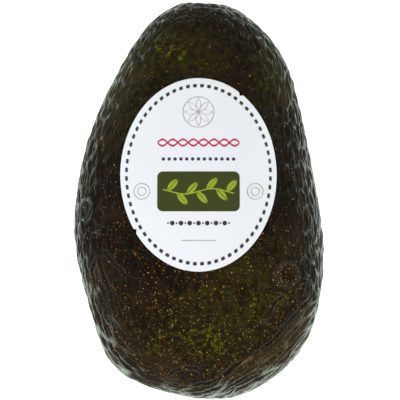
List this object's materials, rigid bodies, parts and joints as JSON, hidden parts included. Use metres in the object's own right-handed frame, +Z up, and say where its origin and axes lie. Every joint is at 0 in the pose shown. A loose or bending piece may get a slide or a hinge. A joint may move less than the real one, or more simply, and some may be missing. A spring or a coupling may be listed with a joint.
{
  "type": "avocado",
  "caption": "Pear-shaped fruit with a pebbled dark skin, lying on its side, with the stalk's button in its hollow and an oval paper label stuck on top.",
  "frame": {"origin": "on the surface that the fruit rests on, below the middle of its bounding box", "axes": "+Z up; +Y along the fruit towards its stem end, the longest extent; +X across it; the label is on the upper side"},
  "size_m": [0.0692, 0.1095, 0.0658],
  "materials": {
    "skin": "ripe pebbled avocado skin, blackish brown with olive patches and tan specks, waxy satin",
    "stalk": "dry corky stalk wood, matt",
    "label": "coated white label paper with a plain printed pattern, semi-matt"
  },
  "bodies": {
    "root": {"avocado_fruit": "skin", "stem_button": "stalk", "oval_label": "label"}
  },
  "joints": []
}
